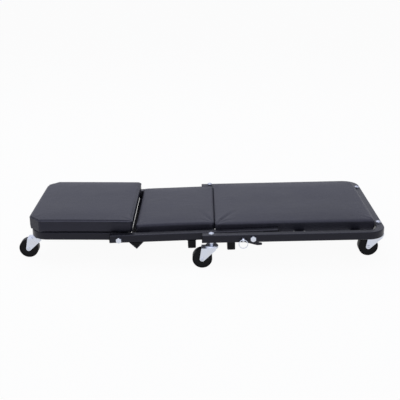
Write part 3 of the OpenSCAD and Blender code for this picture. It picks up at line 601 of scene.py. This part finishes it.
class Pad:
    """One cushion: its box, outline, folds and the way its four sides bow."""

    def __init__(self, name, sizes):
        self.name = name
        self.sizes = sizes
        self.turn = level_of(SECTIONS[name])
        self.low, self.high = level_box(f"{name}_pad_cushion", self.turn)
        self.centre = (self.low.x + self.high.x) / 2
        self.half = (self.high.x - self.low.x) / 2, (self.high.y - self.low.y) / 2
        self.edge = EDGE_HEIGHTS[name]
        self.crown = self.high.z - self.low.z - self.edge
        self.cut = sizes.cut if name == "seat" else 0.0
        self.radius = sizes.sewn_edge if name == "seat" else sizes.soft_edge
        self.bows = BOWS[name]
        self.folds = FOLDS[name]

    def inward(self, x, y):
        """How far in from the outline a point lies, and which way is out."""
        x_side = math.copysign(1.0, x - self.centre)
        y_side = math.copysign(1.0, y)
        along = self.half[0] - abs(x - self.centre)
        across = self.half[1] - abs(y)
        if self.cut and x_side < 0:
            slant = (along + across - self.cut) / math.sqrt(2)
            if slant < min(along, across):
                return slant, Vector((x_side, y_side)).normalized()
        elif max(along, across) < self.sizes.corner:
            reach = Vector((self.sizes.corner - along, self.sizes.corner - across))
            out = Vector((x_side * reach.x, y_side * reach.y)).normalized()
            return self.sizes.corner - reach.length, out
        if along < across:
            return along, Vector((x_side, 0.0))
        return across, Vector((0.0, y_side))

    def bow(self, x, y, out, height):
        """How far a side stands out of the straight outline at a point."""
        along = abs(x - self.centre) / self.half[0]
        across = abs(y) / self.half[1]
        near_edge = (2 * height - 1) ** 4
        end = self.bows[0] if out.x < 0 else self.bows[1]
        if end > 0:
            end = end * (1 - near_edge) * (1 - across ** 40)
        else:
            end = end * (1 - across ** 8)
        flank = -self.sizes.draw_in * (1 - along ** 2)
        return out.x ** 2 * end + out.y ** 2 * flank - EDGE_DRAW * near_edge

    def fold(self, x, y):
        """How far the folds that run in from the corners lift or lower the cover."""
        lift = 0.0
        for x_side, y_side, angle, length, depth in self.folds:
            turn = math.radians(angle)
            from_x = x_side * (x - self.centre - x_side * (self.half[0] - FOLD_START))
            from_y = y_side * (y - y_side * (self.half[1] - FOLD_START))
            along = -from_x * math.cos(turn) - from_y * math.sin(turn)
            beside = from_x * math.sin(turn) - from_y * math.cos(turn)
            share = along / (length * MM)
            if not 0.0 < share < 1.0:
                continue
            wander = noise.noise(Vector((share * 3, angle, depth)))
            beside += FOLD_BEND * share ** 2 + FOLD_WANDER * wander
            width = FOLD_WIDTH + FOLD_SPREAD * along
            valley = math.exp(-(beside / width) ** 2)
            ridge = 0.75 * math.exp(-((beside - 1.9 * width) / (1.3 * width)) ** 2)
            fade = smoothstep(0.0, 0.14, share) * (1 - share) ** 1.2
            lift += depth * MM * fade * (ridge - valley)
        return lift

    def pleat(self, x, y, height):
        """How far the gathers on the side, next to the corners, draw the cover in."""
        way = math.hypot(self.half[0] - abs(x - self.centre), self.half[1] - abs(y)) - self.cut
        fade = math.exp(-((way - GATHER_AT) / GATHER_REACH) ** 2)
        wave = 0.5 - 0.5 * math.cos(way / MM * GATHER_WAVE + 2 * math.copysign(1.0, y))
        return GATHER_DEPTH * fade * wave * smoothstep(0.5, 0.95, height)

    def carriers(self):
        """The faces of what the cushion rests on, in its level axes, for looking them up."""
        back = self.turn.inverted()
        trees = []
        for node in CARRIERS[self.name]:
            mesh = nodes[node].data
            points = [back @ vertex.co for vertex in mesh.vertices]
            trees.append(BVHTree.FromPolygons(points, [tuple(face.vertices) for face in mesh.polygons]))
        return trees

    def place(self, start, push):
        """Where a point of the level block goes on the finished cover."""
        x, y, rise = start
        found, out = self.inward(x, y)
        on_wall = found < ON_SIDE and WORN < rise < self.edge - WORN
        inward = 0.0 if on_wall else max(0.0, found)
        inward, rise = square_up(inward, rise, WORN)
        inward, depth = square_up(inward, self.edge - rise, WORN)
        new_inward, depth = round_over(inward, depth, self.radius)
        new_inward, rise = round_over(new_inward, self.edge - depth, self.sizes.low_edge)
        height = rise / self.edge
        near_side = 1 - smoothstep(BOW_FULL, BOW_END, inward)
        shift = (self.bow(x, y, out, height) - self.pleat(x, y, height)) * near_side - (new_inward - found)
        x += out.x * shift
        y += out.y * shift
        top = smoothstep(0.45, 0.95, height)
        along, across = abs(x - self.centre) / self.half[0], abs(y) / self.half[1]
        dome = max(0.0, 1 - along ** 3) * max(0.0, 1 - across ** 3)
        waves = noise.noise(Vector((x * 9, y * 13, 1.7))) * 0.8
        waves += noise.noise(Vector((x * 34, y * 24, 5.1))) * 0.2
        rise += top * (self.crown * dome + waves * dome * MM + self.fold(x, y) + push)
        return Vector((x, y, self.low.z + rise))


def carried(trees, point, spread):
    """True where something carries the cover at a point, or as far as spread from it."""
    for x, y in ((0, 0), (spread, 0), (-spread, 0), (0, spread), (0, -spread)):
        above = Vector((point.x + x, point.y + y, point.z + 2 * MM))
        if any(tree.ray_cast(above, Vector((0, 0, -1)), 4 * MM)[0] for tree in trees):
            return True
    return False


def beside_seam(face, seam_z):
    """True for a face of the cushion's side near its seam."""
    return abs(face.calc_center_median().z - seam_z) < SEAM_BAND and abs(face.normal.z) < 0.95


def hump(height, place, width, size):
    """How far a bead stands out at a height, or how deep a crease is."""
    return math.exp(-((height - place) / width) ** 2) * size


def sew_seam(cover, seam_z):
    """Cuts loops around the side at the seam, and shapes a crease over a rolled bead."""
    only(cover)
    bpy.ops.object.mode_set(mode="EDIT")
    for step in SEAM_STEPS:
        pick(cover, "faces", lambda face: beside_seam(face, seam_z))
        bpy.ops.mesh.bisect(plane_co=(0, 0, seam_z + step * MM), plane_no=(0, 0, 1))
    bpy.ops.object.mode_set(mode="OBJECT")
    mesh = cover.data
    moves = []
    for vertex in mesh.vertices:
        height = (vertex.co.z - seam_z) / MM
        if SEAM_REACH[0] < height < SEAM_REACH[1] and abs(vertex.normal.z) < FACING:
            out = Vector((vertex.normal.x, vertex.normal.y, 0)).normalized()
            moves.append((vertex, out * (hump(height, *BEAD) - hump(height, *CREASE)) * MM))
    for vertex, move in moves:
        vertex.co += move
    mesh.update()


def settle(thing, turn, body, material):
    """Puts a piece made in a section's level axes in its place, and lets it ride there."""
    thing.data.transform(turn)
    coat(thing, material)
    only(thing)
    bpy.ops.object.shade_smooth()
    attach(thing, body)


class CREEPER_OT_cushions(bpy.types.Operator):
    """Swells, fits and sews the three cushions"""

    bl_idname = "creeper.cushions"
    bl_label = "Cushions"

    def execute(self, context):
        sizes = context.scene.creeper_cushions
        inset = Vector((BLOCK_INSET, BLOCK_INSET, 0))
        pads = [Pad(name, sizes) for name in SECTIONS]
        covers = []
        for pad in pads:
            start_high = pad.high - inset
            start_high.z = pad.low.z + pad.edge
            covers.append(pad_block(f"{pad.name}_cover", pad.low + inset, start_high, sizes.corner,
                                    pad.cut))
        swell(pads, covers, sizes)
        for pad, cover in zip(pads, covers):
            self.fit(pad, cover)
            if pad.name == "seat":
                sew_seam(cover, pad.low.z + pad.edge - sizes.seam_drop)
            self.hem(pad, cover)
            settle(cover, pad.turn, pad.name, shared("vinyl"))
            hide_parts(f"{pad.name}_pad_cushion")
        return {"FINISHED"}

    def fit(self, pad, cover):
        """Subdivides the swollen cover and its flat start together, and places each point by both."""
        foam = cover.copy()
        foam.data = cover.data.copy()
        bpy.context.scene.collection.objects.link(foam)
        for vertex, start in zip(foam.data.vertices, pad.starts):
            vertex.co = start
        for thing in (cover, foam):
            apply_modifier(thing, "SUBSURF", levels=1, render_levels=1)
        starts = [vertex.co.copy() for vertex in foam.data.vertices]
        bpy.data.objects.remove(foam)
        reach_x = max(abs(point.x - pad.centre) for point in starts)
        reach_y = max(abs(point.y) for point in starts)
        floor = min(point.z for point in starts)
        scale_z = pad.edge / (max(point.z for point in starts) - floor)
        lifts = [vertex.co.z - start.z for vertex, start in zip(cover.data.vertices, starts)]
        most = max(lifts)
        for vertex, start, lift in zip(cover.data.vertices, starts, lifts):
            level = Vector((pad.centre + (start.x - pad.centre) * pad.half[0] / reach_x,
                            start.y * pad.half[1] / reach_y, (start.z - floor) * scale_z))
            vertex.co = pad.place(level, SWELL_KEPT * (lift - most))
        cover.data.update()

    def hem(self, pad, cover):
        """Turns the cover in under the board, flat where a strap or tube holds it."""
        sizes = pad.sizes
        held = pad.carriers()
        under = [vertex for vertex in cover.data.vertices
                 if vertex.co.z < pad.low.z + HEM_POINTS and vertex.normal.z < -0.5]
        for vertex in under:
            inward = pad.inward(vertex.co.x, vertex.co.y)[0]
            if inward > sizes.hem:
                vertex.co.z = pad.low.z + HEM_OPEN
            elif inward > sizes.low_edge or vertex.co.z < pad.low.z + HEM_FLAT:
                pressed = carried(held, vertex.co, HEM_CLEAR)
                vertex.co.z = pad.low.z - (HEM_PRESSED if pressed else sizes.cover_t)
        cover.data.update()


class CREEPER_OT_frame_finish(bpy.types.Operator):
    """Coats the frames, straps, brackets, plates and plugs"""

    bl_idname = "creeper.frame_finish"
    bl_label = "Frame finish"

    def execute(self, context):
        colours = context.scene.creeper_finish
        coat_slots({
            "frame_paint": shared("paint"),
            "plug": plastic_finish("plug plastic", colours.plastic, 0.45),
            "board": board_finish("pressed board", colours.board),
        })
        return {"FINISHED"}


class CREEPER_OT_hardware_finish(bpy.types.Operator):
    """Plates the bolts, nuts, screws, pins and casters, and colours the wheels"""

    bl_idname = "creeper.hardware_finish"
    bl_label = "Hardware finish"

    def execute(self, context):
        colours = context.scene.creeper_finish
        coat_slots({
            "zinc": shared("plate"),
            "plated_pin": plate_finish("pin plate", colours.plate, 0.18),
            "wheel": plastic_finish("wheel plastic", colours.plastic),
        })
        dull = tuple(part * 0.62 for part in colours.plate)
        coat(nodes["base_caster_nuts"], plate_finish("cap plate", dull, 0.38))
        return {"FINISHED"}


def copy_of(thing, name):
    """A copy with its own mesh."""
    twin = thing.copy()
    twin.data = thing.data.copy()
    twin.name = twin.data.name = name
    bpy.context.scene.collection.objects.link(twin)
    return twin


def joined(things, name):
    """Many pieces as one."""
    only(things[0])
    for thing in things:
        thing.select_set(True)
    bpy.ops.object.join()
    things[0].name = things[0].data.name = name
    return things[0]


def spaced(first, second, count):
    """Evenly spaced points from first to second, both included."""
    return [first.lerp(second, step / (count - 1)) for step in range(count)]


class CREEPER_OT_wheels(bpy.types.Operator):
    """Turns the six wheels, with rounded treads, dished sides and bossed hubs"""

    bl_idname = "creeper.wheels"
    bl_label = "Wheels"

    def execute(self, context):
        material = bpy.data.materials["wheel plastic"]
        first = None
        for node in sorted(nodes):
            if "_wheel_" not in node:
                continue
            low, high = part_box(node)
            centre = (low + high) / 2
            if first is None:
                first, home = self.wheel(low, high), centre
                wheel = first
            else:
                wheel = copy_of(first, "wheel")
                wheel.data.transform(Matrix.Translation(centre - home))
            wheel.name = wheel.data.name = f"{node}_turned"
            coat(wheel, material)
            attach(wheel, nodes[node]["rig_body"])
            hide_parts(node)
        return {"FINISHED"}

    def wheel(self, low, high):
        """A wheel that fills the box between two corners, stepped from its tread to its bore."""
        trim = bpy.context.scene.creeper_trim
        steps = (trim.shoulder, 0.0), RIM_STEP, (trim.web, 0.0), HUB_STEP, (trim.boss, 0.0), BORE_STEP
        bpy.ops.mesh.primitive_cylinder_add(vertices=56, radius=(high.z - low.z) / 2, depth=high.y - low.y,
                                            location=(low + high) / 2, rotation=(math.pi / 2, 0, 0))
        wheel = bpy.context.active_object
        bpy.ops.object.transform_apply(location=True, rotation=True, scale=True)
        bpy.ops.object.mode_set(mode="EDIT")
        for side in SIDES:
            pick(wheel, "faces", lambda face: face.normal.y * side > FACING)
            for thickness, depth in steps:
                bpy.ops.mesh.inset(thickness=thickness, depth=depth)
        bpy.ops.object.mode_set(mode="OBJECT")
        apply_modifier(wheel, "BEVEL", width=WHEEL_EDGE, segments=3, limit_method="ANGLE",
                       angle_limit=math.radians(28))
        only(wheel)
        bpy.ops.object.shade_smooth_by_angle(angle=math.radians(40))
        return wheel


class CREEPER_OT_welds(bpy.types.Operator):
    """Lays weld beads where the cross tubes, the stop bar and the brackets meet the frames"""

    bl_idname = "creeper.welds"
    bl_label = "Welds"

    def execute(self, context):
        trim = context.scene.creeper_trim
        ripple = self.ripple(trim)
        for body, lines in self.lines().items():
            beads = []
            for start, end in lines:
                way = end - start
                count = max(3, round(way.length / trim.ripple))
                turn = Vector((1, 0, 0)).rotation_difference(way).to_matrix().to_4x4()
                for number, place in enumerate(spaced(start, end, count)):
                    bead = copy_of(ripple, "bead")
                    swing = Matrix.Rotation(RIPPLE_TURN * math.sin(2.3 * number), 4, "X")
                    bead.data.transform(Matrix.Translation(place) @ turn @ swing)
                    beads.append(bead)
            weld = joined(beads, f"{body}_welds")
            coat(weld, shared("paint"))
            only(weld)
            bpy.ops.object.shade_smooth()
            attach(weld, body)
        bpy.data.objects.remove(ripple)
        return {"FINISHED"}

    def ripple(self, trim):
        """One ripple of a bead: a flattened ball with its front drawn forward."""
        bpy.ops.mesh.primitive_uv_sphere_add(segments=8, ring_count=5, radius=trim.weld / 2)
        ripple = bpy.context.active_object
        bpy.ops.object.mode_set(mode="EDIT")
        bpy.ops.mesh.select_all(action="SELECT")
        bpy.ops.transform.resize(value=(0.62, 1.0, 0.72))
        pick(ripple, "verts", lambda vert: vert.co.x > trim.weld * 0.1)
        bpy.ops.transform.resize(value=(1.0, 0.82, 0.82))
        bpy.ops.transform.translate(value=(trim.weld * 0.08, 0, 0))
        bpy.ops.object.mode_set(mode="OBJECT")
        return ripple

    def lines(self):
        """Where the beads run, by body."""
        lines = {"base": [], "middle": []}
        cross_low, cross_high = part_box("base_cross_tube")
        arm_low, arm_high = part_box("base_frame")
        for side in SIDES:
            inner, outer = side * (arm_high.y - TUBE), side * (cross_high.y - WELD_END)
            for x in (cross_low.x, cross_high.x):
                lines["base"].append((Vector((x, inner, arm_low.z)), Vector((x, outer, arm_low.z))))
        low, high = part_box("base_pad_brackets")
        for side in SIDES:
            for y in (side * high.y, side * (high.y - BRACKET)):
                lines["base"].append((Vector((low.x + WELD_END, y, low.z)),
                                      Vector((high.x - WELD_END, y, low.z))))
        turn = level_of("middle_pad_board")
        cross_low, cross_high = level_box("middle_cross_tube", turn)
        bar_low, bar_high = level_box("stop_bar", turn)
        for side in SIDES:
            outer, inner = side * (cross_high.y - WELD_END), side * (cross_high.y - RAIL_WELD)
            for x, z in ((cross_low.x, cross_high.z), (cross_high.x, cross_high.z),
                         (bar_low.x + MM, bar_high.z), (bar_high.x - MM, bar_high.z)):
                lines["middle"].append((turn @ Vector((x, inner, z)), turn @ Vector((x, outer, z))))
        return lines


class CREEPER_OT_staples(bpy.types.Operator):
    """Staples the turned-in covers to their boards"""

    bl_idname = "creeper.staples"
    bl_label = "Staples"

    def execute(self, context):
        trim = context.scene.creeper_trim
        staple = self.staple(trim)
        for name in SECTIONS:
            pad = Pad(name, context.scene.creeper_cushions)
            row = []
            for place, turn in self.places(pad, trim):
                twin = copy_of(staple, "staple")
                twin.data.transform(Matrix.Translation(place) @ Matrix.Rotation(turn, 4, "Z"))
                row.append(twin)
            settle(joined(row, f"{name}_staples"), pad.turn, name, shared("plate"))
        bpy.data.objects.remove(staple)
        return {"FINISHED"}

    def staple(self, trim):
        """One staple along X: a flat crown with its legs turned up."""
        bpy.ops.mesh.primitive_cube_add(size=1, scale=(trim.crown, STAPLE_WIDE, STAPLE_HIGH))
        staple = bpy.context.active_object
        bpy.ops.object.transform_apply(location=True, rotation=True, scale=True)
        leg = trim.crown / 2 - LEG_WIDE
        bpy.ops.object.mode_set(mode="EDIT")
        for side in SIDES:
            bpy.ops.mesh.select_all(action="SELECT")
            bpy.ops.mesh.bisect(plane_co=(side * leg, 0, 0), plane_no=(1, 0, 0))
        pick(staple, "faces",
             lambda face: face.normal.z > FACING and abs(face.calc_center_median().x) > leg)
        bpy.ops.mesh.extrude_region_move(TRANSFORM_OT_translate={"value": (0, 0, LEG_HIGH)})
        bpy.ops.object.mode_set(mode="OBJECT")
        apply_modifier(staple, "BEVEL", width=STAPLE_EDGE, segments=2, limit_method="ANGLE")
        return staple

    def places(self, pad, trim):
        """Where the staples go in the cushion's level axes, and how each is turned."""
        held = pad.carriers()
        found = []
        for axis in (0, 1):
            across = 1 - axis
            count = int((2 * pad.half[axis] - 3 * trim.inset) / trim.pitch)
            for number in range(count + 1):
                for side in SIDES:
                    point = Vector((0, 0, pad.low.z - STAPLE_DROP))
                    point[axis] = (number - count / 2) * trim.pitch
                    point[across] = side * (pad.half[across] - trim.inset)
                    point.x += pad.centre
                    clear = pad.inward(point.x, point.y)[0] > trim.inset - MM
                    if clear and not carried(held, point, STAPLE_CLEAR):
                        askew = STAPLE_TURN * math.sin(5.3 * number + side)
                        found.append((point, axis * math.pi / 2 + askew))
        return found


class CREEPER_OT_stage(bpy.types.Operator):
    """Adds the floor, the white surroundings, the lamps and the camera"""

    bl_idname = "creeper.stage"
    bl_label = "Stage"

    def execute(self, context):
        stage = context.scene.creeper_stage
        self.floor(stage)
        self.surroundings(stage)
        self.lamp("overhead", *OVERHEAD, stage.overhead)
        self.lamp("fill", *FILL, stage.fill)
        self.camera(stage)
        context.scene.view_settings.view_transform = "Standard"
        return {"FINISHED"}

    def floor(self, stage):
        """A pale floor that looks white wherever no shadow falls on it."""
        bpy.ops.mesh.primitive_plane_add(size=stage.floor)
        floor = bpy.context.active_object
        floor.name = "studio_floor"
        recipe = Finish("white floor")
        tone = recipe.noise(recipe.place(), 3, 2) * 0.02
        colour = recipe.mix(tone, (0.9, 0.9, 0.9, 1), (0.86, 0.86, 0.87, 1))
        recipe.finish(Base_Color=colour, Roughness=0.9)
        seen = recipe.rays()[1]
        white = recipe.node("ShaderNodeEmission", {}, {"Color": WHITE, "Strength": 1.0})
        pale = Tie(recipe, recipe.shader.outputs[0])
        mixed = recipe.node("ShaderNodeMixShader", {}, {0: seen * FLOOR_WHITE, 1: pale, 2: white})
        recipe.feed(recipe.tree.nodes["Material Output"], {"Surface": mixed})
        coat(floor, recipe.material)

    def surroundings(self, stage):
        """A dim, cool light from all round that the camera sees as white."""
        world = bpy.data.worlds.new("studio")
        bpy.context.scene.world = world
        world.use_nodes = True
        recipe = Recipe(world.node_tree)
        straight, seen = recipe.rays()
        recipe.feed(recipe.tree.nodes["Background"], {
            "Strength": seen * (1.0 - stage.world) + stage.world,
            "Color": recipe.mix(straight, rgba(stage.cool), WHITE),
        })

    def lamp(self, name, place, target, size, power):
        """A square soft box turned towards its target."""
        light = bpy.data.lights.new(name, "AREA")
        light.size = size
        light.energy = power
        light.color = bpy.context.scene.creeper_stage.cool
        lamp = bpy.data.objects.new(name, light)
        bpy.context.scene.collection.objects.link(lamp)
        lamp.location = place
        lamp.rotation_euler = (Vector(target) - Vector(place)).to_track_quat("-Z", "Y").to_euler()

    def camera(self, stage):
        """A camera that looks along Y, turned by its yaw, pitch and roll."""
        data = bpy.data.cameras.new("camera")
        data.lens = stage.lens
        data.sensor_width = SENSOR
        camera = bpy.data.objects.new("camera", data)
        bpy.context.scene.collection.objects.link(camera)
        level = math.cos(stage.pitch)
        ahead = Vector((-math.sin(stage.yaw) * level, math.cos(stage.yaw) * level, -math.sin(stage.pitch)))
        turn = ahead.to_track_quat("-Z", "Y") @ Quaternion((0, 0, 1), stage.roll)
        camera.location = stage.eye
        camera.rotation_euler = turn.to_euler()
        bpy.context.scene.camera = camera


OPERATORS = (
    CREEPER_OT_frame_finish,
    CREEPER_OT_hardware_finish,
    CREEPER_OT_cushions,
    CREEPER_OT_wheels,
    CREEPER_OT_welds,
    CREEPER_OT_staples,
    CREEPER_OT_stage,
)


class CREEPER_PT_panel(bpy.types.Panel):
    """Lists the operators of the creeper seat"""

    bl_label = "Creeper Seat"
    bl_idname = "CREEPER_PT_panel"
    bl_space_type = "VIEW_3D"
    bl_region_type = "UI"
    bl_category = "Creeper"

    def draw(self, context):
        for operator in OPERATORS:
            self.layout.operator(operator.bl_idname)


GROUPS = {
    "creeper_cushions": CushionSettings,
    "creeper_finish": FinishSettings,
    "creeper_trim": TrimSettings,
    "creeper_stage": StageSettings,
}


def register():
    for group in GROUPS.values():
        bpy.utils.register_class(group)
    for name, group in GROUPS.items():
        setattr(bpy.types.Scene, name, PointerProperty(type=group))
    for operator in OPERATORS:
        bpy.utils.register_class(operator)
    bpy.utils.register_class(CREEPER_PT_panel)


def unregister():
    bpy.utils.unregister_class(CREEPER_PT_panel)
    for operator in reversed(OPERATORS):
        bpy.utils.unregister_class(operator)
    for name, group in reversed(GROUPS.items()):
        delattr(bpy.types.Scene, name)
        bpy.utils.unregister_class(group)


def main():
    register()
    bpy.ops.creeper.frame_finish()
    bpy.ops.creeper.hardware_finish()
    bpy.ops.creeper.cushions()
    bpy.ops.creeper.wheels()
    bpy.ops.creeper.welds()
    bpy.ops.creeper.staples()
    bpy.ops.creeper.stage()


if __name__ == "__main__":
    main()
